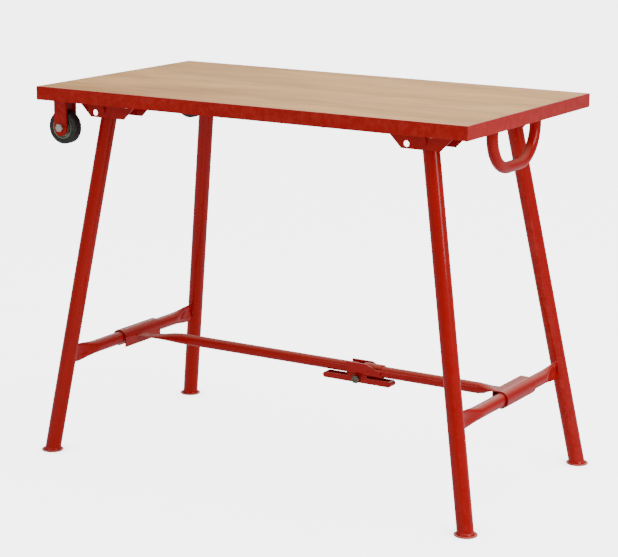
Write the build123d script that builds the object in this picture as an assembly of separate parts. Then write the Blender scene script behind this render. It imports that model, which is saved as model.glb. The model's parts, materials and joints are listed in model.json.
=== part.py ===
"""Folding welding table: wooden worktop in a steel angle frame on two splayed, folding leg frames.

Frame: origin at the centre of the worktop's top face, +X along the length towards the carrying handle,
+Y to the back, +Z up. All sizes are in millimetres.
"""

import os
from math import cos, radians, sin

from build123d import *

os.makedirs("parts", exist_ok=True)

# Worktop and its frame
TABLE_LENGTH = 1075.0
TABLE_WIDTH = 600.0
TABLE_HEIGHT = 850.0
ANGLE_SIZE = 30.0
ANGLE_WALL = 3.0
BOARD_GAP = 0.5
BOARD_UNDERSIDE = ANGLE_WALL - ANGLE_SIZE
FRAME_UNDERSIDE = -ANGLE_SIZE
FLOOR = -TABLE_HEIGHT

# Wood screws
SCREW_RADIUS = 2.4
SCREW_LENGTH = 18.0
SCREW_HEAD_RADIUS = 4.8
SCREW_HEAD_HEIGHT = 2.5

# Leg frames
LEG_RADIUS = 18.0
LEG_BORE = 16.0
PIVOT_Z = -50.0
PIVOT_X = {"left": -410.3, "right": 400.6}
FOOT_X = {"left": -525.7, "right": 548.6}
LEG_PIVOT_Y = 195.0
LEG_FOOT_Y = 283.0
FOOT_RADIUS = 25.0
FOOT_THICKNESS = 3.0
BRACE_Z = -625.0
BRACE_RADIUS = 15.0
BRACE_WALL = 1.5
BRACE_ROUND_HALF = 165.0
BRACE_FLAT_START = 218.0
PLUG = 3.0  # solid length between a tube's bore and its pressed end

# Pivot brackets under the worktop
BRACKET_X = {"left": -395.5, "right": 396.0}
BRACKET_Y = 193.0
BRACKET_WIDTH = 72.0
BRACKET_WALL = 3.0
BRACKET_BOTTOM = -69.0
BRACKET_FLAT = 90.0
BRACKET_HOLE_RADIUS = 6.75
BRACKET_HOLE_OFFSET = -33.0
BRACKET_HOLE_Z = -59.0
PIVOT_BOLT_RADIUS = 6.0
PIVOT_SLEEVE_RADIUS = 11.0
RUNNING_GAP = 0.05
SIDE_GAP = 0.5

# Spreader stay between the two cross braces
STAY_Z = -621.0
STAY_RADIUS = 12.7
STAY_WALL = 1.5
SADDLE_INNER = 16.5
SADDLE_WALL = 3.0
SADDLE_HALF = 71.0
SADDLE_Y = {"left": 9.0, "right": 21.0}
SADDLE_LIP = 21.0
KNEE_PIN_X = 166.5
KNEE_PIN_RADIUS = 5.0
CHEEK_X = (105.5, 193.0)
CHEEK_SWEEP_RADIUS = 606.0
STRAP_START_X = 148.0
STRAP_LOW = 9.8
CHEEK_TOP = -605.0
CHEEK_SEAM = 0.05
PRESS_GAP = 0.02

# Slanting tube ends at the knee; starts and overlaps run along X from the cheeks' left end
KNEE_CUT_HALF = 20.0
KNEE_CUT_LEAN = 40.0
LEFT_TUBE_OVERLAP = 60.0
LEFT_CUT_START = 14.0
RIGHT_TUBE_START = 20.0
RIGHT_CUT_START = 30.0
HOOK_REACH = 40.0
HOOK_LOW_ANGLE = 82.0
HOOK_HIGH_ANGLE = 28.0
HOOK_GAP = 0.15

# Lock bar under the knee
CHEEK_INNER = 12.9
CHEEK_WALL = 3.0
LOCK_BOLT_X = 130.5
LOCK_BOLT_Z = -644.0
LOCK_BOLT_RADIUS = 4.0
LOCK_LUG_HALF_LENGTH = 25.0
LOCK_LUG_HALF = 9.2
LOCK_LUG_BOTTOM = -648.9
LOCK_BAR_LENGTH = 176.0
LOCK_BAR_TOP = -639.0
LOCK_BAR_BOTTOM = -652.0
LOCK_BAR_HALF = 12.0
LOCK_BAR_WALL = 2.5
LOCK_BAR_FLOOR = 1.5
LOCK_SEAT_GAP = 0.2
LOCK_HEAD_HEIGHT = 6.4
LOCK_HEAD_FLATS = 17.0
LOCK_NUT_HEIGHT = 8.0
LOCK_THREAD_END = 1.8

# Transport wheels
WHEEL_X = -496.7
WHEEL_Y = 250.0
WHEEL_Z = -94.0
WHEEL_RADIUS = 38.0
WHEEL_WIDTH = 26.0
RIM_RADIUS = 26.0
FORK_WIDTH = 34.0
FORK_GAP = 30.0
FORK_WALL = 4.0
FORK_BOTTOM = -113.0
AXLE_RADIUS = 5.0
AXLE_SLEEVE_RADIUS = 7.0

# Carrying handle
HANDLE_X = 497.0
HANDLE_HALF = 105.0
HANDLE_RADIUS = 12.5
HANDLE_BORE = 10.5
HANDLE_BOTTOM = -123.5
HANDLE_BEND = 78.0
HANDLE_PLATE_HALF = 130.0
HANDLE_PLATE_WIDTH = 37.0

SIDES = (("front", -1), ("rear", 1))
ENDS = (("left", 1), ("right", -1))  # the number is the direction from that end towards the middle


def block(x0, x1, y0, y1, z0, z1):
    """Block between two opposite corners."""
    centre = Pos((x0 + x1) / 2, (y0 + y1) / 2, (z0 + z1) / 2)
    return centre * Box(abs(x1 - x0), abs(y1 - y0), abs(z1 - z0))


def bar(start, end, radius):
    """Solid round bar between two points."""
    axis = Vector(*end) - Vector(*start)
    return Part() + Solid.make_cylinder(radius, axis.length, Plane(origin=start, z_dir=axis))


def cross_bar(x, z, y0, y1, radius):
    """Solid round bar along Y."""
    return bar((x, min(y0, y1), z), (x, max(y0, y1), z), radius)


def plate(points, y0, y1):
    """Plate with the given XZ outline, from y0 to y1."""
    outline = Polyline(*[(x, min(y0, y1), z) for x, z in points], close=True)
    return extrude(make_face(outline), amount=abs(y1 - y0), dir=(0, 1, 0))


def hex_prism(x, z, y0, y1, across_flats):
    """Hexagonal bolt head or nut with its axis along Y."""
    face = Plane(origin=(x, min(y0, y1), z), x_dir=(1, 0, 0), z_dir=(0, 1, 0))
    outline = face * RegularPolygon(across_flats / 2, 6, major_radius=False)
    return extrude(outline, amount=abs(y1 - y0))


def save(name, *solids):
    """Write one sub-part; several solids make a group of identical pieces."""
    found = [s for part in solids for s in part.solids()]
    shape = found[0] if len(found) == 1 else Compound(children=found)
    export_step(shape, f"parts/{name}.step")


def leg_point(end, side, z):
    """Point on a leg's centre line at height z."""
    share = (PIVOT_Z - z) / (PIVOT_Z - FLOOR)
    x = PIVOT_X[end] + share * (FOOT_X[end] - PIVOT_X[end])
    y = LEG_PIVOT_Y + share * (LEG_FOOT_Y - LEG_PIVOT_Y)
    return (x, side * y, z)


# ---- Worktop ----

def screw_places():
    """Screws through the frame's flange: (x, y) on all four rails."""
    inset = ANGLE_SIZE / 2
    long_y = TABLE_WIDTH / 2 - inset
    short_x = TABLE_LENGTH / 2 - inset
    places = [(x, s * long_y) for x in (-300.0, -50.0, 200.0, 450.0) for s in (-1, 1)]
    return places + [(s * short_x, y) for y in (-120.0, 120.0) for s in (-1, 1)]


def bracket_screw_places():
    """Four screws through the web of each pivot bracket."""
    return [
        (BRACKET_X[end] + dx, side * BRACKET_Y + dy)
        for end, _ in ENDS
        for _, side in SIDES
        for dx in (-60.0, 60.0)
        for dy in (-18.0, 18.0)
    ]


def fork_screw_places():
    return [(WHEEL_X + 4.0, side * (WHEEL_Y + dy)) for _, side in SIDES for dy in (-8.0, 8.0)]


def handle_screw_places():
    return [(HANDLE_X - 8.0, y) for y in (-75.0, -40.0, 40.0, 75.0)]


def wood_screw(x, y, seat):
    """Pan-head wood screw driven upwards from the seat height."""
    shank = bar((x, y, seat), (x, y, seat + SCREW_LENGTH), SCREW_RADIUS)
    return shank + bar((x, y, seat - SCREW_HEAD_HEIGHT), (x, y, seat), SCREW_HEAD_RADIUS)


def screw_hole(x, y):
    top = FRAME_UNDERSIDE + SCREW_LENGTH + 1.0
    return bar((x, y, FRAME_UNDERSIDE - 1.0), (x, y, top), SCREW_RADIUS + RUNNING_GAP)


def drill(part, places):
    for x, y in places:
        part -= screw_hole(x, y)
    return part


def worktop_board():
    half_x = TABLE_LENGTH / 2 - ANGLE_WALL - BOARD_GAP
    half_y = TABLE_WIDTH / 2 - ANGLE_WALL - BOARD_GAP
    board = block(-half_x, half_x, -half_y, half_y, BOARD_UNDERSIDE, 0)
    places = screw_places() + bracket_screw_places() + fork_screw_places() + handle_screw_places()
    return drill(board, places)


def frame_ring():
    """All four angle rails in one piece: upright leg outside, flange under the board."""
    half_x, half_y = TABLE_LENGTH / 2, TABLE_WIDTH / 2
    ring = block(-half_x, half_x, -half_y, half_y, FRAME_UNDERSIDE, 0)
    ring -= block(
        -half_x + ANGLE_WALL, half_x - ANGLE_WALL,
        -half_y + ANGLE_WALL, half_y - ANGLE_WALL,
        BOARD_UNDERSIDE, 1,
    )
    ring -= block(
        -half_x + ANGLE_SIZE, half_x - ANGLE_SIZE,
        -half_y + ANGLE_SIZE, half_y - ANGLE_SIZE,
        FRAME_UNDERSIDE - 1, 1,
    )
    return drill(ring, screw_places())


def mitre_wedge(corners):
    """Prism over one side of the frame, with its ends on the mitre lines."""
    outline = Polyline(*[(x, y, FRAME_UNDERSIDE - 1) for x, y in corners], close=True)
    return extrude(make_face(outline), amount=ANGLE_SIZE + 2, dir=(0, 0, 1))


def frame_rails():
    half_x, half_y = TABLE_LENGTH / 2, TABLE_WIDTH / 2
    inner_x = half_x - half_y
    ring = frame_ring()
    for name, s in SIDES:
        corners = [(-half_x, s * half_y), (half_x, s * half_y), (inner_x, 0), (-inner_x, 0)]
        save(f"frame_rail_{name}", ring & mitre_wedge(corners))
    for name, s in (("left", -1), ("right", 1)):
        corners = [(s * half_x, -half_y), (s * half_x, half_y), (s * inner_x, 0)]
        save(f"frame_rail_{name}", ring & mitre_wedge(corners))


# ---- Pivot brackets and legs ----

def pivot_bracket(end, side):
    """Channel with its web under the board and two flanges with sloping ends."""
    x, y = BRACKET_X[end], side * BRACKET_Y
    half_flat = BRACKET_FLAT / 2
    half_top = half_flat + FRAME_UNDERSIDE - BRACKET_BOTTOM
    outline = [
        (x - half_flat, BRACKET_BOTTOM),
        (x + half_flat, BRACKET_BOTTOM),
        (x + half_top, FRAME_UNDERSIDE),
        (x + half_top, BOARD_UNDERSIDE),
        (x - half_top, BOARD_UNDERSIDE),
        (x - half_top, FRAME_UNDERSIDE),
    ]
    half = BRACKET_WIDTH / 2
    channel = plate(outline, y - half, y + half)
    inner = half - BRACKET_WALL
    channel -= block(
        x - half_top - 1, x + half_top + 1, y - inner, y + inner, BRACKET_BOTTOM - 1, FRAME_UNDERSIDE
    )
    lock_x = x + BRACKET_HOLE_OFFSET
    channel -= cross_bar(lock_x, BRACKET_HOLE_Z, y - half - 1, y + half + 1, BRACKET_HOLE_RADIUS)
    channel -= cross_bar(
        PIVOT_X[end], PIVOT_Z, y - half - 1, y + half + 1, PIVOT_BOLT_RADIUS + RUNNING_GAP
    )
    return drill(channel, bracket_screw_places())


def pivot_bolt(end, side):
    """Bolt through both flanges, with a low round head on the outside."""
    x = PIVOT_X[end]
    outer = side * (BRACKET_Y + BRACKET_WIDTH / 2)
    inner = side * (BRACKET_Y - BRACKET_WIDTH / 2 - 11.0)
    shank = cross_bar(x, PIVOT_Z, inner, outer, PIVOT_BOLT_RADIUS)
    return shank + cross_bar(x, PIVOT_Z, outer, outer + side * 4.0, 10.0)


def pivot_nut(end, side):
    x = PIVOT_X[end]
    seat = side * (BRACKET_Y - BRACKET_WIDTH / 2)
    nut = hex_prism(x, PIVOT_Z, seat, seat - side * 9.0, 18.0)
    return nut - cross_bar(x, PIVOT_Z, seat + side, seat - side * 12, PIVOT_BOLT_RADIUS + RUNNING_GAP)


def pivot_sleeve(end, side):
    half = BRACKET_WIDTH / 2 - BRACKET_WALL - SIDE_GAP
    y = side * BRACKET_Y
    sleeve = cross_bar(PIVOT_X[end], PIVOT_Z, y - half, y + half, PIVOT_SLEEVE_RADIUS)
    return sleeve - cross_bar(
        PIVOT_X[end], PIVOT_Z, y - half - 1, y + half + 1, PIVOT_BOLT_RADIUS + RUNNING_GAP
    )


def leg_bar(end, side, radius):
    """Round bar on a leg's centre line, running past both ends of the leg."""
    return bar(leg_point(end, side, 0), leg_point(end, side, FLOOR - 20), radius)


def leg(end, side):
    """Splayed tube with a rounded top that turns clear of the bracket's web."""
    tube = leg_bar(end, side, LEG_RADIUS) - leg_bar(end, side, LEG_BORE)
    x = PIVOT_X[end]
    reach = 300.0
    above = block(x - reach, x + reach, side * 100, side * 400, PIVOT_Z, 60)
    above -= cross_bar(x, PIVOT_Z, side * 90, side * 410, LEG_RADIUS + 0.3)
    below = block(x - reach, x + reach, side * 100, side * 400, FLOOR - 60, FLOOR + FOOT_THICKNESS)
    tube -= above
    tube -= below
    return tube - cross_bar(x, PIVOT_Z, side * 100, side * 300, PIVOT_SLEEVE_RADIUS + 0.02)


def foot(end, side):
    """Flat flared disc welded under the leg."""
    x, y, _ = leg_point(end, side, FLOOR)
    return bar((x, y, FLOOR), (x, y, FLOOR + FOOT_THICKNESS), FOOT_RADIUS)


def flattened_end(start, outward, wide_axis, stations):
    """Solid tube end pressed flat: stations are (distance, half width, half thickness, offset)."""
    origin, run, wide = Vector(*start), Vector(*outward), Vector(*wide_axis)
    sections = []
    for distance, half_wide, half_thin, offset in stations:
        at = origin + run * distance + Vector(0, 0, offset)
        plane = Plane(origin=at, x_dir=wide, z_dir=run)
        round_section = half_wide == half_thin
        sections.append(plane * (Circle(half_wide) if round_section else Ellipse(half_wide, half_thin)))
    return loft(sections, ruled=True)


def brace(end):
    """Cross brace: round tube, pressed flat and upright where it meets each leg."""
    x = leg_point(end, 1, BRACE_Z)[0]
    half = BRACE_ROUND_HALF
    tube = cross_bar(x, BRACE_Z, -half, half, BRACE_RADIUS)
    for _, side in SIDES:
        press = BRACE_FLAT_START - half
        stations = [
            (0.0, BRACE_RADIUS, BRACE_RADIUS, 0.0),
            (press * 0.35, BRACE_RADIUS + 1.8, BRACE_RADIUS - 3.0, 0.0),
            (press * 0.7, BRACE_RADIUS + 5.5, BRACE_RADIUS - 8.5, 0.0),
            (press, BRACE_RADIUS + 8.0, 3.0, 0.0),
            (press + 42.0, BRACE_RADIUS + 8.2, 2.6, 0.0),
        ]
        tube += flattened_end((x, side * half, BRACE_Z), (0, side, 0), (0, 0, 1), stations)
        tube -= leg_bar(end, side, LEG_RADIUS)
    tube -= cross_bar(x, BRACE_Z, PLUG - half, half - PLUG, BRACE_RADIUS - BRACE_WALL)
    return max(tube.solids(), key=lambda s: s.volume)


# ---- Spreader stay ----

def brace_x(end):
    return leg_point(end, 1, BRACE_Z)[0]


def saddle(end, inward):
    """Sheet hook round the brace: arc over the far side and top, then a wall the stay is welded to."""
    x = brace_x(end)
    y0, y1 = SADDLE_Y[end] - SADDLE_HALF, SADDLE_Y[end] + SADDLE_HALF
    outer = SADDLE_INNER + SADDLE_WALL
    ring = cross_bar(x, BRACE_Z, y0, y1, outer)
    wall_end = BRACE_Z - SADDLE_LIP if end == "left" else BRACE_Z - 2.0
    ring += block(x, x + inward * outer, y0, y1, wall_end, BRACE_Z)
    if end == "right":
        ring += block(x, x + inward * outer, y0, y1, BRACE_Z, BRACE_Z + outer)
    hollow = cross_bar(x, BRACE_Z, y0 - 1, y1 + 1, SADDLE_INNER)
    mouth_low = BRACE_Z - 40.0
    hollow += block(x, x + inward * SADDLE_INNER, y0 - 1, y1 + 1, mouth_low, BRACE_Z)
    if end == "right":
        hollow += block(x, x + inward * SADDLE_INNER, y0 - 1, y1 + 1, BRACE_Z, BRACE_Z + SADDLE_INNER)
        hollow += block(x, x + inward * 40.0, y0 - 1, y1 + 1, mouth_low, wall_end)
    return ring - hollow


def stay_blade(end, inward):
    """Pressed end of a stay tube, from the round tube down to a thin blade at the saddle's wall."""
    wall = brace_x(end) + inward * (SADDLE_INNER + SADDLE_WALL)
    press, drop = (96.0, -5.0) if end == "left" else (44.0, 5.0)
    blade = 28.0 if end == "left" else 11.0
    start = (wall + inward * (press + blade), 0, STAY_Z)
    stations = [
        (0.0, STAY_RADIUS, STAY_RADIUS, 0.0),
        (press * 0.3, STAY_RADIUS + 1.5, STAY_RADIUS - 2.2, drop * 0.15),
        (press * 0.65, STAY_RADIUS + 4.5, STAY_RADIUS - 6.8, drop * 0.6),
        (press, STAY_RADIUS + 6.3, 2.8, drop),
        (press + blade, STAY_RADIUS + 6.5, 2.6, drop),
    ]
    solid = flattened_end(start, (-inward, 0, 0), (0, 1, 0), stations)
    return start[0], solid


def knee_cut(start_x, far_x):
    """Everything between the slanting line that starts at start_x and the upright line at far_x."""
    top, bottom = STAY_Z + KNEE_CUT_HALF, STAY_Z - KNEE_CUT_HALF
    corners = [(start_x, top), (start_x + KNEE_CUT_LEAN, bottom), (far_x, bottom), (far_x, top)]
    return plate(corners, -KNEE_CUT_HALF, KNEE_CUT_HALF)


def left_stay():
    start, blade = stay_blade("left", 1)
    end = CHEEK_X[0] + LEFT_TUBE_OVERLAP
    tube = bar((start, 0, STAY_Z), (end, 0, STAY_Z), STAY_RADIUS) + blade
    tube -= bar((start + PLUG, 0, STAY_Z), (end + 1, 0, STAY_Z), STAY_RADIUS - STAY_WALL)
    return tube - knee_cut(CHEEK_X[0] + LEFT_CUT_START, end + KNEE_CUT_LEAN)


def hook_mouth():
    """Slot that lets the knee pin leave the hook downwards and to the right."""
    reach = HOOK_REACH
    low, high = radians(HOOK_LOW_ANGLE), radians(HOOK_HIGH_ANGLE)
    r = KNEE_PIN_RADIUS + HOOK_GAP
    x, z = KNEE_PIN_X, STAY_Z
    corners = [
        (x - r * sin(low), z - r * cos(low)),
        (x - r * sin(low) + reach * cos(low), z - r * cos(low) - reach * sin(low)),
        (x + reach, z - reach),
        (x + r * sin(high) + reach * cos(high), z + r * cos(high) - reach * sin(high)),
        (x + r * sin(high), z + r * cos(high)),
    ]
    return plate(corners, -KNEE_CUT_HALF, KNEE_CUT_HALF) + cross_bar(x, z, -KNEE_CUT_HALF, KNEE_CUT_HALF, r)


def right_stay():
    start, blade = stay_blade("right", -1)
    end = CHEEK_X[0] + RIGHT_TUBE_START
    tube = bar((end, 0, STAY_Z), (start, 0, STAY_Z), STAY_RADIUS) + blade
    tube -= bar((end - 1, 0, STAY_Z), (start - PLUG, 0, STAY_Z), STAY_RADIUS - STAY_WALL)
    tube -= knee_cut(CHEEK_X[0] + RIGHT_CUT_START, end - STAY_RADIUS)
    return tube + knee_strap() - hook_mouth()


def knee_strap():
    """Curved strip along the top of the right tube that stiffens the hook."""
    ends = (STRAP_START_X, 0, STAY_Z), (CHEEK_X[1], 0, STAY_Z)
    strip = bar(*ends, STAY_RADIUS + CHEEK_WALL) - bar(*ends, STAY_RADIUS - STAY_WALL / 2)
    low = STAY_Z + STRAP_LOW
    below = low - 4 * STAY_RADIUS
    return strip - block(STRAP_START_X - 1, CHEEK_X[1] + 1, -2 * STAY_RADIUS, 2 * STAY_RADIUS, below, low)


def knee_cheek(side):
    """One half of the open-topped cradle welded under the left stay tube.

    The right tube drops in from above. The far top corner is cut back on an arc, so that the right
    saddle swings past it.
    """
    x0, x1 = CHEEK_X
    outer = CHEEK_INNER + CHEEK_WALL
    shape = bar((x0, 0, STAY_Z), (x1, 0, STAY_Z), outer)
    shape += block(x0, x1, -outer, outer, STAY_Z, CHEEK_TOP)
    shape -= bar((x0 - 1, 0, STAY_Z), (x1 + 1, 0, STAY_Z), CHEEK_INNER)
    shape -= block(x0 - 1, x1 + 1, -CHEEK_INNER, CHEEK_INNER, STAY_Z, CHEEK_TOP + outer)
    shape -= block(x0 - 1, x1 + 1, -outer - 1, outer + 1, CHEEK_TOP, CHEEK_TOP + outer)
    seam = side * CHEEK_SEAM
    far = -side * 2 * outer
    shape -= block(x0 - 1, x1 + 1, min(seam, far), max(seam, far), STAY_Z - 2 * outer, 0)
    shape -= cross_bar(PIVOT_X["right"], PIVOT_Z, -2 * outer, 2 * outer, CHEEK_SWEEP_RADIUS)
    return shape - cross_bar(KNEE_PIN_X, STAY_Z, -2 * outer, 2 * outer, KNEE_PIN_RADIUS + PRESS_GAP)


def lock_lug():
    """Web under the left stay tube that carries the lock bar's bolt."""
    x0, x1 = LOCK_BOLT_X - LOCK_LUG_HALF_LENGTH, LOCK_BOLT_X + LOCK_LUG_HALF_LENGTH
    lug = block(x0, x1, -LOCK_LUG_HALF, LOCK_LUG_HALF, LOCK_LUG_BOTTOM, STAY_Z - STAY_RADIUS)
    lug -= bar((x0 - 1, 0, STAY_Z), (x1 + 1, 0, STAY_Z), CHEEK_INNER + CHEEK_WALL)
    lug -= cross_bar(LOCK_BOLT_X, LOCK_BOLT_Z, -LOCK_BAR_HALF, LOCK_BAR_HALF, LOCK_BOLT_RADIUS + RUNNING_GAP)
    return max(lug.solids(), key=lambda s: s.volume)


def lock_bar():
    """Upward-open channel that rocks on the bolt under the knee."""
    half = LOCK_BAR_LENGTH / 2
    mid = (LOCK_BAR_TOP + LOCK_BAR_BOTTOM) / 2
    r = (LOCK_BAR_TOP - LOCK_BAR_BOTTOM) / 2
    x0, x1 = LOCK_BOLT_X - half + r, LOCK_BOLT_X + half - r
    body = block(x0, x1, -LOCK_BAR_HALF, LOCK_BAR_HALF, LOCK_BAR_BOTTOM, LOCK_BAR_TOP)
    for x in (x0, x1):
        body += cross_bar(x, mid, -LOCK_BAR_HALF, LOCK_BAR_HALF, r)
    inner = LOCK_BAR_HALF - LOCK_BAR_WALL
    body -= block(x0, x1, -inner, inner, LOCK_BAR_BOTTOM + LOCK_BAR_FLOOR, LOCK_BAR_TOP + 1)
    return body - cross_bar(LOCK_BOLT_X, LOCK_BOLT_Z, -2 * inner, 2 * inner, LOCK_BOLT_RADIUS + RUNNING_GAP)


def lock_bolt():
    seat = LOCK_BAR_HALF + LOCK_SEAT_GAP
    head = hex_prism(LOCK_BOLT_X, LOCK_BOLT_Z, -seat, -seat - LOCK_HEAD_HEIGHT, LOCK_HEAD_FLATS)
    shank_end = seat + LOCK_NUT_HEIGHT + LOCK_THREAD_END
    return head + cross_bar(LOCK_BOLT_X, LOCK_BOLT_Z, -seat - 1, shank_end, LOCK_BOLT_RADIUS)


def lock_nut():
    seat = LOCK_BAR_HALF + LOCK_SEAT_GAP
    nut = hex_prism(LOCK_BOLT_X, LOCK_BOLT_Z, seat, seat + LOCK_NUT_HEIGHT, LOCK_HEAD_FLATS)
    return nut - cross_bar(LOCK_BOLT_X, LOCK_BOLT_Z, seat - 1, seat + 12, LOCK_BOLT_RADIUS + RUNNING_GAP)


# ---- Wheels ----

def wheel_fork(side):
    """Channel strip: short web beside the frame's flange and two hanging arms with round ends."""
    y = side * WHEEL_Y
    x0, x1 = WHEEL_X - FORK_WIDTH / 2, WHEEL_X + FORK_WIDTH / 2
    flange_edge = -TABLE_LENGTH / 2 + ANGLE_SIZE
    half = FORK_GAP / 2 + FORK_WALL
    round_z = FORK_BOTTOM + FORK_WIDTH / 2
    body = block(flange_edge, x1, y - half, y + half, FRAME_UNDERSIDE, BOARD_UNDERSIDE)
    body += block(x0, x1, y - half, y + half, round_z, FRAME_UNDERSIDE)
    body += cross_bar(WHEEL_X, round_z, y - half, y + half, FORK_WIDTH / 2)
    body -= block(x0 - 1, x1 + 1, y - half + FORK_WALL, y + half - FORK_WALL, FORK_BOTTOM - 1, FRAME_UNDERSIDE)
    body -= cross_bar(WHEEL_X, WHEEL_Z, y - half - 1, y + half + 1, AXLE_RADIUS + RUNNING_GAP)
    return drill(body, fork_screw_places())


def axle_bolt(side):
    """Bolt with its hexagon head on the outer arm."""
    outer = side * (WHEEL_Y + FORK_GAP / 2 + FORK_WALL)
    inner = side * (WHEEL_Y - FORK_GAP / 2 - FORK_WALL - 11.0)
    return cross_bar(WHEEL_X, WHEEL_Z, inner, outer, AXLE_RADIUS) + hex_prism(
        WHEEL_X, WHEEL_Z, outer, outer + side * 6.4, 17.0
    )


def axle_nut(side):
    seat = side * (WHEEL_Y - FORK_GAP / 2 - FORK_WALL)
    nut = hex_prism(WHEEL_X, WHEEL_Z, seat, seat - side * 8.0, 17.0)
    return nut - cross_bar(WHEEL_X, WHEEL_Z, seat + side, seat - side * 12, AXLE_RADIUS + RUNNING_GAP)


def axle_sleeve(side):
    y = side * WHEEL_Y
    half = FORK_GAP / 2
    sleeve = cross_bar(WHEEL_X, WHEEL_Z, y - half, y + half, AXLE_SLEEVE_RADIUS)
    return sleeve - cross_bar(WHEEL_X, WHEEL_Z, y - half - 1, y + half + 1, AXLE_RADIUS + RUNNING_GAP)


def ring(y, half, outer, inner):
    """Ring round a wheel's axle, centred at y."""
    body = cross_bar(WHEEL_X, WHEEL_Z, y - half, y + half, outer)
    return body - cross_bar(WHEEL_X, WHEEL_Z, y - half - 1, y + half + 1, inner)


def wheel_tyre(side):
    y = side * WHEEL_Y
    half = WHEEL_WIDTH / 2
    tyre = ring(y, half, WHEEL_RADIUS, RIM_RADIUS)
    tyre = chamfer(tyre.edges().filter_by(GeomType.CIRCLE).filter_by(lambda e: e.radius > RIM_RADIUS + 1), 2.5)
    for groove in (-5.0, 0.0, 5.0):
        tyre -= ring(y + groove, 0.9, WHEEL_RADIUS + 1, WHEEL_RADIUS - 1.5)
    return tyre


def wheel_rim(side):
    """Rim ring, thin disc and hub barrel in one pressing."""
    y = side * WHEEL_Y
    rim = ring(y, WHEEL_WIDTH / 2 - 1.0, RIM_RADIUS, RIM_RADIUS - 2.5)
    rim += ring(y, 3.0, RIM_RADIUS - 1.0, AXLE_SLEEVE_RADIUS + RUNNING_GAP)
    return rim + ring(y, FORK_GAP / 2 - SIDE_GAP, 11.0, AXLE_SLEEVE_RADIUS + RUNNING_GAP)


# ---- Handle ----

def handle_line():
    points = [
        (HANDLE_X, -HANDLE_HALF, FRAME_UNDERSIDE),
        (HANDLE_X, -HANDLE_HALF, HANDLE_BOTTOM),
        (HANDLE_X, HANDLE_HALF, HANDLE_BOTTOM),
        (HANDLE_X, HANDLE_HALF, FRAME_UNDERSIDE),
    ]
    return FilletPolyline(*points, radius=HANDLE_BEND)


def handle_tube():
    line = handle_line()
    start = Plane(origin=line @ 0, z_dir=line % 0)
    outer = sweep(start * Circle(HANDLE_RADIUS), path=line)
    return outer - sweep(start * Circle(HANDLE_BORE), path=line)


def handle_plate():
    x1 = TABLE_LENGTH / 2 - ANGLE_SIZE
    body = block(
        x1 - HANDLE_PLATE_WIDTH, x1, -HANDLE_PLATE_HALF, HANDLE_PLATE_HALF, FRAME_UNDERSIDE, BOARD_UNDERSIDE
    )
    return drill(body, handle_screw_places())


# ---- Write every sub-part ----

save("worktop_board", worktop_board())
frame_rails()
save("frame_screws", *[wood_screw(x, y, FRAME_UNDERSIDE) for x, y in screw_places()])
save("bracket_screws", *[wood_screw(x, y, FRAME_UNDERSIDE) for x, y in bracket_screw_places()])
save("fork_screws", *[wood_screw(x, y, FRAME_UNDERSIDE) for x, y in fork_screw_places()])
save("handle_screws", *[wood_screw(x, y, FRAME_UNDERSIDE) for x, y in handle_screw_places()])
save("leg_pivot_bolts", *[pivot_bolt(end, side) for end, _ in ENDS for _, side in SIDES])
save("leg_pivot_nuts", *[pivot_nut(end, side) for end, _ in ENDS for _, side in SIDES])
for end, inward in ENDS:
    for side_name, side in SIDES:
        save(f"pivot_bracket_{side_name}_{end}", pivot_bracket(end, side))
        save(f"leg_{side_name}_{end}", leg(end, side))
        save(f"foot_{side_name}_{end}", foot(end, side))
    save(f"pivot_sleeves_{end}", *[pivot_sleeve(end, side) for _, side in SIDES])
    save(f"cross_brace_{end}", brace(end))
    save(f"saddle_{end}", saddle(end, inward))
save("stay_tube_left", left_stay())
save("stay_tube_right", right_stay())
save("knee_pin", cross_bar(KNEE_PIN_X, STAY_Z, -CHEEK_INNER - CHEEK_WALL, CHEEK_INNER + CHEEK_WALL, KNEE_PIN_RADIUS))
save("lock_bar_lug", lock_lug())
save("lock_bar", lock_bar())
save("lock_bar_bolt", lock_bolt())
save("lock_bar_nut", lock_nut())
for side_name, side in SIDES:
    save(f"knee_cheek_{side_name}", knee_cheek(side))
    save(f"wheel_fork_{side_name}", wheel_fork(side))
    save(f"wheel_tyre_{side_name}", wheel_tyre(side))
    save(f"wheel_rim_{side_name}", wheel_rim(side))
save("axle_bolts", *[axle_bolt(side) for _, side in SIDES])
save("axle_nuts", *[axle_nut(side) for _, side in SIDES])
save("axle_sleeves", *[axle_sleeve(side) for _, side in SIDES])
save("handle_tube", handle_tube())
save("handle_plate", handle_plate())
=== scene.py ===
"""Looks of the folding welding table: enamelled steel, plywood top, zinc fasteners and rubber tyres."""

import json
from math import cos, pi, radians, sin

import bmesh
import bpy
from mathutils import Matrix, Vector


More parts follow.
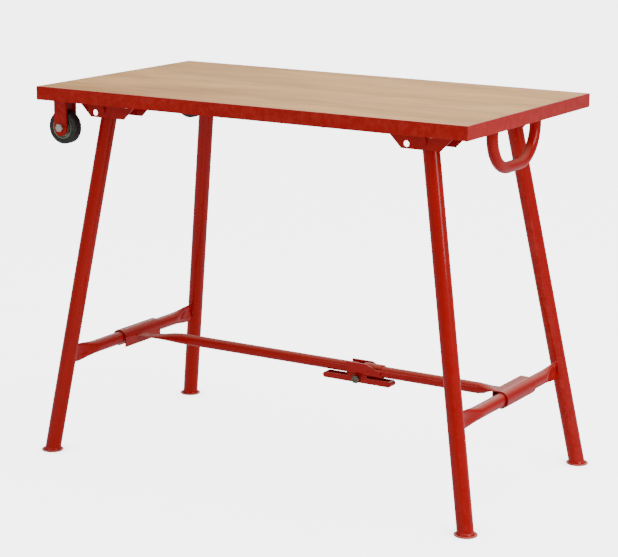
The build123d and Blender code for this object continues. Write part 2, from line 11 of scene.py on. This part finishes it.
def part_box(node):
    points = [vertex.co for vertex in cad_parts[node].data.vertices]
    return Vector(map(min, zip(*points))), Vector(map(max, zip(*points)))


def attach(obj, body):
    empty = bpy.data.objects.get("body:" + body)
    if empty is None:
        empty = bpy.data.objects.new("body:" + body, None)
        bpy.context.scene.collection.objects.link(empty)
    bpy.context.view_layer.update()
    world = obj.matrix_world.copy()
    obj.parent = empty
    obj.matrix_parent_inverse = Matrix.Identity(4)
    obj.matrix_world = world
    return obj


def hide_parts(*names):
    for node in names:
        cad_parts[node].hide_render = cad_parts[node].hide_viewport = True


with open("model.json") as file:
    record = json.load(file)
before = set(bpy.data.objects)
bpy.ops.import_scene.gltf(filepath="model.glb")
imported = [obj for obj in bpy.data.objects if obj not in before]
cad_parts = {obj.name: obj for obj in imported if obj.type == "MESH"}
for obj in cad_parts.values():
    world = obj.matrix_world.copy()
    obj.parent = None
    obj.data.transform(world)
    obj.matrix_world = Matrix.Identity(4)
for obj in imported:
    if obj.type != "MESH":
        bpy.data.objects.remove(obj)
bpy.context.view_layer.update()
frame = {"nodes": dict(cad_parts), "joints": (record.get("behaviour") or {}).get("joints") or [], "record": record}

NODES = frame["nodes"]
MM = 0.001
SIDES = (("front", -1), ("rear", 1))
ENDS = ("left", "right")
DULL_NODES = ("lock_bar_bolt", "lock_bar_nut")

FLOOR_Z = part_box("foot_front_left")[0].z
RAIL_LOW, RAIL_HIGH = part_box("frame_rail_front")

# Sizes, in metres
LEG_PIVOT_Y = 195 * MM
LEG_RADIUS = 18 * MM
BRACE_ROUND_HALF = 150 * MM
BRACE_FLAT_START = 222 * MM
BRACE_FLAT_EXTRA = 6 * MM
BRACE_BLADE = 4.5 * MM
BRACE_LEG_OVERLAP = 8 * MM
BRACE_STEPS = 30
BRACE_PRESS_POWER = 1.4
FOOT_RIM = 1.0 * MM
FOOT_FILLET = ((20.5 * MM, 1.2 * MM), (18.6 * MM, 4.0 * MM), (17.0 * MM, 6.0 * MM))
TYRE_INNER = 26 * MM
TYRE_SHOULDER_WIDTH = 5 * MM
TYRE_SHOULDER_HEIGHT = 7 * MM
TREAD_PITCH = 5 * MM
GROOVE_DEPTH = 1.6 * MM
GROOVE_HALF = 0.9 * MM
EDGE_ROUND = 0.6 * MM
RAIL_EDGE_ROUND = 1.3 * MM
RING_POINTS = 48
BEAD_POINTS = 10

# Linear colours
RED = (0.43, 0.0014, 0.0010, 1)
RED_DEEP = (0.38, 0.0011, 0.0008, 1)
RED_WORN = (0.50, 0.020, 0.014, 1)
# Pale pink painted onto upward enamel faces as a painted sky reflection
RED_PAINTED_SKY_REFLECTION = (0.95, 0.38, 0.30, 1)
WOOD_LIGHT = (0.81, 0.465, 0.185, 1)
WOOD_MID = (0.52, 0.262, 0.092, 1)
WOOD_DARK = (0.36, 0.19, 0.085, 1)
RUBBER_CLEAN = (0.010, 0.010, 0.011, 1)
RUBBER_DUSTY = (0.050, 0.047, 0.044, 1)
ZINC_LIGHT = (0.72, 0.70, 0.62, 1)
ZINC_DARK = (0.46, 0.45, 0.40, 1)
DULL_LIGHT = (0.24, 0.21, 0.15, 1)
DULL_DARK = (0.06, 0.05, 0.035, 1)
RIM_LIGHT = (0.46, 0.50, 0.38, 1)
RIM_DARK = (0.24, 0.27, 0.20, 1)


# ---- Materials ----

class Shader:
    """Small helper round one material's node tree."""

    def __init__(self, name):
        self.material = bpy.data.materials.new(name)
        self.material.use_nodes = True
        self.tree = self.material.node_tree
        self.bsdf = self.tree.nodes["Principled BSDF"]
        self.place = self.add("ShaderNodeTexCoord").outputs["Object"]

    def add(self, kind, **settings):
        node = self.tree.nodes.new(kind)
        for key, value in settings.items():
            setattr(node, key, value)
        return node

    def link(self, source, target):
        self.tree.links.new(source, target)

    def scaled(self, scale):
        mapping = self.add("ShaderNodeMapping")
        mapping.inputs["Scale"].default_value = scale
        self.link(self.place, mapping.inputs["Vector"])
        return mapping.outputs["Vector"]

    def noise(self, scale, detail=3.0, roughness=0.55, stretch=(1, 1, 1)):
        node = self.add("ShaderNodeTexNoise")
        node.inputs["Scale"].default_value = scale
        node.inputs["Detail"].default_value = detail
        node.inputs["Roughness"].default_value = roughness
        self.link(self.scaled(stretch), node.inputs["Vector"])
        return node.outputs["Fac"]

    def ramp(self, source, *stops):
        node = self.add("ShaderNodeValToRGB")
        elements = node.color_ramp.elements
        while len(elements) < len(stops):
            elements.new(0.5)
        for element, (position, colour) in zip(elements, stops):
            element.position = position
            element.color = colour
        self.link(source, node.inputs["Fac"])
        return node.outputs["Color"]

    def mix(self, factor, a, b, blend="MIX"):
        node = self.add("ShaderNodeMix", data_type="RGBA", blend_type=blend)
        for socket, value in ((node.inputs[0], factor), (node.inputs[6], a), (node.inputs[7], b)):
            if isinstance(value, (int, float, tuple)):
                socket.default_value = value
            else:
                self.link(value, socket)
        return node.outputs[2]

    def upward(self):
        """Upward part of the surface normal."""
        parts = self.add("ShaderNodeSeparateXYZ")
        self.link(self.add("ShaderNodeNewGeometry").outputs["Normal"], parts.inputs[0])
        return parts.outputs["Z"]

    def span(self, source, low, high):
        """Maps 0..1 to low..high."""
        node = self.add("ShaderNodeMapRange")
        node.inputs["To Min"].default_value = low
        node.inputs["To Max"].default_value = high
        self.link(source, node.inputs["Value"])
        return node.outputs["Result"]

    def bump(self, height, distance, strength=1.0, before=None):
        node = self.add("ShaderNodeBump")
        node.inputs["Distance"].default_value = distance
        node.inputs["Strength"].default_value = strength
        self.link(height, node.inputs["Height"])
        if before is not None:
            self.link(before, node.inputs["Normal"])
        return node.outputs["Normal"]

    def set(self, **inputs):
        for name, value in inputs.items():
            socket = self.bsdf.inputs[name.replace("_", " ")]
            if isinstance(value, (int, float, tuple)):
                socket.default_value = value
            else:
                self.link(value, socket)


def grey(value):
    return (value, value, value, 1)


def enamel():
    """Gloss red enamel: faint orange peel, slow colour drift, thin lighter edges, small scuffs and a painted sky
    reflection that lightens upward faces.
    """
    s = Shader("red_enamel")
    drift = s.ramp(s.noise(5.0, 4.0), (0.30, RED_DEEP), (0.60, RED))
    edge = s.ramp(s.add("ShaderNodeNewGeometry").outputs["Pointiness"], (0.53, grey(0)), (0.60, grey(1)))
    patchy = s.ramp(s.noise(60.0, 6.0, 0.7), (0.45, grey(0)), (0.62, grey(1)))
    worn = s.mix(1.0, edge, patchy, "MULTIPLY")
    colour = s.mix(worn, drift, RED_WORN)
    scuff = s.ramp(s.noise(26.0, 8.0, 0.75, (1, 1, 0.4)), (0.62, grey(0)), (0.72, grey(1)))
    colour = s.mix(s.span(scuff, 0.0, 0.03), colour, RED_WORN)
    # Painted reflection: upward-facing faces are mixed towards pale pink, standing in for the sky's reflection
    colour = s.mix(s.span(s.ramp(s.upward(), (0.55, grey(0)), (0.97, grey(1))), 0.0, 0.36), colour, RED_PAINTED_SKY_REFLECTION)
    peel = s.bump(s.noise(620.0, 2.0), 0.00005, 0.25)
    waves = s.bump(s.noise(45.0, 2.0), 0.0003, 0.06, peel)
    rough = s.span(s.noise(18.0, 5.0), 0.26, 0.36)
    s.set(Base_Color=colour, Roughness=rough, Normal=waves, Coat_Weight=0.30, Coat_Roughness=0.07)
    s.set(Specular_IOR_Level=0.12)
    return s.material


def plywood():
    """Bare plywood: long grain along X, short pores, soft darker stains and layered edges."""
    s = Shader("plywood")
    bands = s.noise(8.0, 6.0, 0.66, (0.18, 1.0, 1.0))
    fibres = s.noise(150.0, 5.0, 0.6, (0.02, 1.0, 1.0))
    pores = s.noise(420.0, 3.0, 0.6, (0.05, 1.0, 1.0))
    stains = s.noise(4.5, 4.0, 0.6, (0.45, 1.0, 1.0))
    colour = s.ramp(bands, (0.36, WOOD_MID), (0.60, WOOD_LIGHT))
    colour = s.mix(s.span(s.ramp(fibres, (0.35, grey(1)), (0.60, grey(0))), 0.0, 0.30), colour, WOOD_MID)
    colour = s.mix(s.span(s.ramp(pores, (0.28, grey(1)), (0.40, grey(0))), 0.0, 0.40), colour, WOOD_DARK)
    colour = s.mix(s.span(s.ramp(stains, (0.48, grey(0)), (0.66, grey(1))), 0.0, 0.32), colour, WOOD_DARK)
    layers = s.add("ShaderNodeTexWave", wave_type="BANDS", bands_direction="Z")
    layers.inputs["Scale"].default_value = 110.0
    layers.inputs["Distortion"].default_value = 0.6
    s.link(s.place, layers.inputs["Vector"])
    plies = s.ramp(layers.outputs["Fac"], (0.35, WOOD_DARK), (0.65, WOOD_MID))
    upright = s.add("ShaderNodeMath", operation="ABSOLUTE")
    s.link(s.upward(), upright.inputs[0])
    colour = s.mix(s.ramp(upright.outputs[0], (0.4, grey(0)), (0.6, grey(1))), plies, colour)
    grain = s.bump(fibres, 0.00025, 0.35)
    s.set(Base_Color=colour, Roughness=s.span(bands, 0.48, 0.66), Normal=s.bump(pores, 0.0002, 0.4, grain))
    s.set(Specular_IOR_Level=0.22)
    return s.material


def plated(name, light, dark, rough):
    """Bright plating with a fine mottle and dull patches."""
    s = Shader(name)
    colour = s.ramp(s.noise(240.0, 5.0, 0.65), (0.35, dark), (0.65, light))
    s.set(
        Base_Color=colour,
        Metallic=0.9,
        Roughness=s.span(s.noise(120.0, 4.0), rough - 0.10, rough + 0.16),
        Normal=s.bump(s.noise(500.0, 3.0), 0.00008, 0.4),
    )
    return s.material


def rubber():
    """Black tyre rubber with dusty high spots."""
    s = Shader("tyre_rubber")
    dust = s.ramp(s.noise(130.0, 6.0, 0.7), (0.45, RUBBER_CLEAN), (0.80, RUBBER_DUSTY))
    s.set(
        Base_Color=dust,
        Roughness=s.span(s.noise(60.0, 4.0), 0.42, 0.70),
        Normal=s.bump(s.noise(900.0, 3.0), 0.0001, 0.6),
    )
    return s.material


def backdrop():
    """Pale studio floor with a barely visible mottle; it glows, and the glow is dimmed near objects as a painted
    contact shadow.
    """
    s = Shader("studio_floor")
    colour = s.ramp(s.noise(2.0, 3.0), (0.3, grey(0.47)), (0.7, grey(0.50)))
    s.set(Base_Color=colour, Roughness=0.9, Specular_IOR_Level=0.1)
    # Painted shadow: the floor's glow is dimmed where ambient occlusion finds objects close by, such as round the
    # feet and wheels
    painted_contact_shadow = s.add("ShaderNodeAmbientOcclusion")
    painted_contact_shadow.inputs["Distance"].default_value = 0.10
    glow_with_painted_shadow = s.span(s.ramp(painted_contact_shadow.outputs["AO"], (0.35, grey(0)), (0.95, grey(1))), 2.0, 4.7)
    seen = s.add("ShaderNodeLightPath").outputs["Is Camera Ray"]
    strength = s.add("ShaderNodeMix", data_type="FLOAT")
    strength.inputs[2].default_value = 0.30
    s.link(seen, strength.inputs[0])
    s.link(glow_with_painted_shadow, strength.inputs[3])
    s.set(Emission_Color=(1, 1, 1, 1), Emission_Strength=strength.outputs[0])
    return s.material


MATERIALS = {
    "red_enamel": enamel(),
    "plywood": plywood(),
    "zinc": plated("zinc", ZINC_LIGHT, ZINC_DARK, 0.30),
    "zinc_dull": plated("zinc_dull", DULL_LIGHT, DULL_DARK, 0.34),
    "rim_steel": plated("rim_steel", RIM_LIGHT, RIM_DARK, 0.36),
    "tyre_rubber": rubber(),
}


# ---- CAD nodes ----

def finish_cad_nodes():
    """Gives every CAD node its material, smooth shading and a small rounded edge."""
    slots = {row["node"]: row["material_slot"] for row in frame["record"]["subparts"]}
    for name, piece in NODES.items():
        piece.data.materials.clear()
        finish = "zinc_dull" if name in DULL_NODES else slots[name]
        piece.data.materials.append(MATERIALS[finish])
        if piece.data.has_custom_normals:
            with bpy.context.temp_override(object=piece, active_object=piece):
                bpy.context.view_layer.objects.active = piece
                bpy.ops.mesh.customdata_custom_splitnormals_clear()
        for polygon in piece.data.polygons:
            polygon.use_smooth = True
        weld = piece.modifiers.new("weld", "WELD")
        weld.merge_threshold = 0.01 * MM
        flat = piece.modifiers.new("flat", "DECIMATE")
        flat.decimate_type = "DISSOLVE"
        flat.angle_limit = radians(0.8)
        bevel = piece.modifiers.new("edge", "BEVEL")
        bevel.width = RAIL_EDGE_ROUND if name.startswith("frame_rail") else EDGE_ROUND
        bevel.segments = 2
        bevel.limit_method = "ANGLE"
        bevel.angle_limit = radians(38)
        bevel.harden_normals = True


# ---- Mesh helpers ----

def turns(count):
    """Evenly spaced angles round a full circle."""
    return [2 * pi * i / count for i in range(count)]


def piece_from(name, vertices, faces, slot, body):
    """New smooth-shaded piece that rides on a body."""
    mesh = bpy.data.meshes.new(name)
    mesh.from_pydata(vertices, [], faces)
    work = bmesh.new()
    work.from_mesh(mesh)
    bmesh.ops.recalc_face_normals(work, faces=work.faces)
    work.to_mesh(mesh)
    work.free()
    for polygon in mesh.polygons:
        polygon.use_smooth = True
    mesh.set_sharp_from_angle(angle=radians(40))
    mesh.materials.append(MATERIALS[slot])
    piece = bpy.data.objects.new(name, mesh)
    bpy.context.scene.collection.objects.link(piece)
    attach(piece, body)
    return piece


def skin(rings):
    """Vertices and faces of a closed tube through rings of equal length, with flat end caps."""
    count = len(rings[0])
    vertices = [point for ring in rings for point in ring]
    faces = []
    for i in range(len(rings) - 1):
        for j in range(count):
            k = (j + 1) % count
            faces.append((i * count + j, i * count + k, (i + 1) * count + k, (i + 1) * count + j))
    faces.append(tuple(range(count))[::-1])
    faces.append(tuple((len(rings) - 1) * count + j for j in range(count)))
    return vertices, faces


def smooth_step(t):
    t = max(0.0, min(1.0, t))
    return t * t * (3 - 2 * t)


def pressed_ring(centre, wide, thin, radius, flat, blade):
    """Section of a tube pressed by the share flat: an oval with a hollow down each flat face."""
    half_thin = radius + (blade - radius) * flat
    half_wide = radius + (radius * pi / 2 - blade * 0.6 - radius) * flat
    ring = []
    for angle in turns(RING_POINTS):
        hollow = 1.0 - 0.70 * flat * cos(angle) ** 6
        ring.append(centre + wide * (half_wide * sin(angle)) + thin * (half_thin * cos(angle) * hollow))
    return ring


def bead(name, points, radius, body, closed=True):
    """Lumpy weld bead along a line of points, painted over."""
    rings = []
    count = len(points)
    for i, point in enumerate(points):
        ahead = points[(i + 1) % count] if closed or i + 1 < count else point
        behind = points[i - 1] if closed or i > 0 else point
        run = (ahead - behind).normalized()
        side = run.orthogonal().normalized()
        up = run.cross(side)
        swell = radius * (1.0 + 0.22 * sin(i * 2.1) + 0.10 * sin(i * 5.3))
        rings.append([point + (side * cos(a) + up * sin(a)) * swell for a in turns(BEAD_POINTS)])
    if closed:
        rings.append(rings[0])
    vertices, faces = skin(rings)
    if closed:
        faces = faces[:-2]
    return piece_from(name, vertices, faces, "red_enamel", body)


# ---- Replaced pieces ----

def leg_axis(end, side_name):
    """Top and bottom points of a leg's centre line, taken from the pivot and the foot."""
    joint = next(j for j in frame["joints"] if j["name"] == f"{end}_leg_fold")
    low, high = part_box(f"foot_{side_name}_{end}")
    side = -1 if side_name == "front" else 1
    top = Vector((joint["pos_m"][0], side * LEG_PIVOT_Y, joint["pos_m"][2]))
    return top, Vector(((low.x + high.x) / 2, (low.y + high.y) / 2, low.z))


def leg_at(end, side_name, z):
    top, bottom = leg_axis(end, side_name)
    return top.lerp(bottom, (top.z - z) / (top.z - bottom.z))


def brace_line(end):
    """X and Z of a cross brace's centre line, which the stay turns about."""
    joint = next(j for j in frame["joints"] if j["name"] == f"{end}_stay_swing")
    return joint["pos_m"][0], joint["pos_m"][2]


def cross_brace(end):
    """Brace with pressed, hollowed ends that run into the legs."""
    low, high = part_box(f"cross_brace_{end}")
    x, z = brace_line(end)
    radius = (high.x - low.x) / 2
    reach = abs(leg_at(end, "rear", z).y) - BRACE_LEG_OVERLAP
    press = BRACE_FLAT_START - BRACE_ROUND_HALF
    places = [-reach, -BRACE_FLAT_START - BRACE_FLAT_EXTRA]
    places += [-BRACE_FLAT_START + press * i / BRACE_STEPS for i in range(BRACE_STEPS + 1)]
    places += [-y for y in reversed(places)]
    rings = []
    for y in places:
        flat = smooth_step((abs(y) - BRACE_ROUND_HALF) / press) ** BRACE_PRESS_POWER
        centre = Vector((x, y, z))
        rings.append(pressed_ring(centre, Vector((0, 0, 1)), Vector((1, 0, 0)), radius, flat, BRACE_BLADE))
    vertices, faces = skin(rings)
    piece = piece_from(f"brace_{end}", vertices, faces, "red_enamel", f"{end}_leg_frame")
    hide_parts(f"cross_brace_{end}")


def brace_welds(end):
    """Upright oval bead where each pressed end meets a leg."""
    half_tall, half_wide, bead_radius = 22.5 * MM, 4.2 * MM, 1.5 * MM
    x0, z0 = brace_line(end)
    for side_name, side in SIDES:
        points = []
        for angle in turns(40):
            x, z = x0 + half_wide * cos(angle), z0 + half_tall * sin(angle)
            axis = leg_at(end, side_name, z)
            y = axis.y - side * (LEG_RADIUS ** 2 - (x - axis.x) ** 2) ** 0.5
            points.append(Vector((x, y, z)))
        bead(f"weld_brace_{side_name}_{end}", points, bead_radius, f"{end}_leg_frame")


def foot_piece(end, side_name):
    """Flared foot: thin disc with a rolled rim and a fillet up to the leg."""
    low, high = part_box(f"foot_{side_name}_{end}")
    centre = (low + high) / 2
    radius = (high.x - low.x) / 2
    thick = high.z - low.z
    profile = [(0, 0), (radius - FOOT_RIM, 0), (radius, FOOT_RIM), (radius, thick - 0.8 * FOOT_RIM)]
    profile += [(radius - FOOT_RIM, thick), (radius - 4.5 * FOOT_RIM, thick)]
    profile += [(r, thick + h) for r, h in FOOT_FILLET]
    profile += [(0, thick + FOOT_FILLET[-1][1])]
    top, bottom = leg_axis(end, side_name)
    lean = (top - bottom).normalized()
    rings = []
    for r, h in profile:
        shift = Vector((lean.x, lean.y, 0)) * (max(0.0, h - thick) / lean.z)
        at = Vector((centre.x, centre.y, low.z + h)) + shift
        r = max(r, 0.01 * MM)
        rings.append([at + Vector((cos(a) * r, sin(a) * r, 0)) for a in turns(56)])
    vertices, faces = skin(rings)
    piece = piece_from(f"flared_foot_{side_name}_{end}", vertices, faces, "red_enamel", f"{end}_leg_frame")
    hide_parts(f"foot_{side_name}_{end}")


def tyre_shoulder(half, outer):
    """Rounded corner from the side wall at half up to the tread, as (Y, radius) points."""
    base = outer - TYRE_SHOULDER_HEIGHT
    corner = []
    for angle in (pi / 12 * i for i in range(1, 6)):
        y = half - TYRE_SHOULDER_WIDTH * (1 - cos(angle))
        corner.append((y, base + TYRE_SHOULDER_HEIGHT * sin(angle)))
    return [(half, TYRE_INNER), (half, base)] + corner


def tyre_profile(half, outer):
    """Closed outline of the tyre's section, as (Y, radius) points."""
    shoulder = tyre_shoulder(half, outer)
    profile = [(-y, r) for y, r in shoulder]
    for y in (-TREAD_PITCH, 0.0, TREAD_PITCH):
        profile += [
            (y - GROOVE_HALF, outer),
            (y - GROOVE_HALF * 0.6, outer - GROOVE_DEPTH),
            (y + GROOVE_HALF * 0.6, outer - GROOVE_DEPTH),
            (y + GROOVE_HALF, outer),
        ]
    return profile + shoulder[::-1]


def tyre_piece(side_name):
    """Rubber tyre with round shoulders and three tread grooves."""
    low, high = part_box(f"wheel_tyre_{side_name}")
    centre = (low + high) / 2
    profile = tyre_profile((high.y - low.y) / 2, (high.x - low.x) / 2)
    count, size = 96, len(profile)
    vertices, faces = [], []
    for a in turns(count):
        vertices += [centre + Vector((cos(a) * r, y, sin(a) * r)) for y, r in profile]
    for i in range(count):
        for j in range(size):
            k, n = (j + 1) % size, (i + 1) % count
            faces.append((i * size + j, i * size + k, n * size + k, n * size + j))
    piece = piece_from(f"tyre_{side_name}", vertices, faces, "tyre_rubber", f"{side_name}_wheel")
    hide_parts(f"wheel_tyre_{side_name}")


def frame_welds():
    """Short beads along the mitres under the corners."""
    outer_inset, inner_inset, steps = 3 * MM, 28 * MM, 14
    half_x = RAIL_HIGH.x
    half_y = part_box("frame_rail_rear")[1].y
    for x_name, sx in (("left", -1), ("right", 1)):
        for y_name, sy in SIDES:
            start = Vector((sx * (half_x - outer_inset), sy * (half_y - outer_inset), RAIL_LOW.z))
            end = Vector((sx * (half_x - inner_inset), sy * (half_y - inner_inset), RAIL_LOW.z))
            points = [start.lerp(end, i / steps) for i in range(steps + 1)]
            bead(f"weld_mitre_{y_name}_{x_name}", points, 1.1 * MM, "worktop", closed=False)


def handle_welds():
    """Bead round each end of the handle tube."""
    low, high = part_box("handle_tube")
    x = (low.x + high.x) / 2
    radius = (high.x - low.x) / 2
    for name, side in SIDES:
        y = side * (high.y - radius)
        ring = [Vector((x + cos(a) * radius, y + sin(a) * radius, high.z)) for a in turns(40)]
        bead(f"weld_handle_{name}", ring, 1.7 * MM, "worktop")


def build_pieces():
    for end in ENDS:
        cross_brace(end)
        brace_welds(end)
        for side_name, _ in SIDES:
            foot_piece(end, side_name)
    for side_name, _ in SIDES:
        tyre_piece(side_name)
    frame_welds()
    handle_welds()


# ---- Studio ----

def camera():
    """Camera at the table's front right, a little above the worktop."""
    turn, down_angle, roll = radians(-31.02), radians(12.83), radians(-0.50)
    forward = Vector((sin(turn) * cos(down_angle), cos(turn) * cos(down_angle), -sin(down_angle)))
    right = Vector((cos(turn), -sin(turn), 0))
    down = forward.cross(right)
    x_axis = right * cos(roll) + down * sin(roll)
    y_axis = right * sin(roll) - down * cos(roll)
    data = bpy.data.cameras.new("camera")
    data.sensor_width = 36.0
    data.lens = 116.7
    view = bpy.data.objects.new("camera", data)
    axes = Matrix((x_axis, y_axis, -forward)).transposed().to_4x4()
    view.matrix_world = Matrix.Translation((2.2820, -3.8006, 0.5793)) @ axes
    bpy.context.scene.collection.objects.link(view)
    bpy.context.scene.camera = view


def area_light(name, place, target, size, power, shine=1.0):
    data = bpy.data.lights.new(name, "AREA")
    data.shape = "RECTANGLE"
    data.size, data.size_y = size
    data.energy = power
    data.specular_factor = shine
    light = bpy.data.objects.new(name, data)
    light.location = place
    light.rotation_euler = (Vector(target) - Vector(place)).to_track_quat("-Z", "Y").to_euler()
    bpy.context.scene.collection.objects.link(light)


def studio():
    world = bpy.data.worlds.new("studio")
    bpy.context.scene.world = world
    world.use_nodes = True
    tree = world.node_tree
    background = tree.nodes["Background"]
    background.inputs["Color"].default_value = (1, 1, 1, 1)
    brightness = tree.nodes.new("ShaderNodeMapRange")
    brightness.inputs["To Min"].default_value = 0.42
    brightness.inputs["To Max"].default_value = 5.0
    tree.links.new(tree.nodes.new("ShaderNodeLightPath").outputs["Is Camera Ray"], brightness.inputs["Value"])
    tree.links.new(brightness.outputs["Result"], background.inputs["Strength"])
    middle = (0, 0, -0.35)
    area_light("key_right", (3.2, -0.6, 1.3), middle, (1.2, 2.4), 66)
    area_light("fill_front", (-1.0, -3.6, 1.2), middle, (2.2, 1.4), 22)
    area_light("top", (0.4, 0.3, 2.6), middle, (2.4, 1.6), 75, shine=0.5)
    area_light("rim_back", (-1.2, 4.2, 1.5), middle, (4.0, 1.2), 26)
    mesh = bpy.data.meshes.new("floor")
    size = 30.0
    corners = [(x * size, y * size, FLOOR_Z) for x, y in ((-1, -1), (1, -1), (1, 1), (-1, 1))]
    mesh.from_pydata(corners, [], [(0, 1, 2, 3)])
    mesh.materials.append(backdrop())
    floor = bpy.data.objects.new("floor", mesh)
    bpy.context.scene.collection.objects.link(floor)


finish_cad_nodes()
build_pieces()
camera()
studio()

bpy.context.view_layer.update()
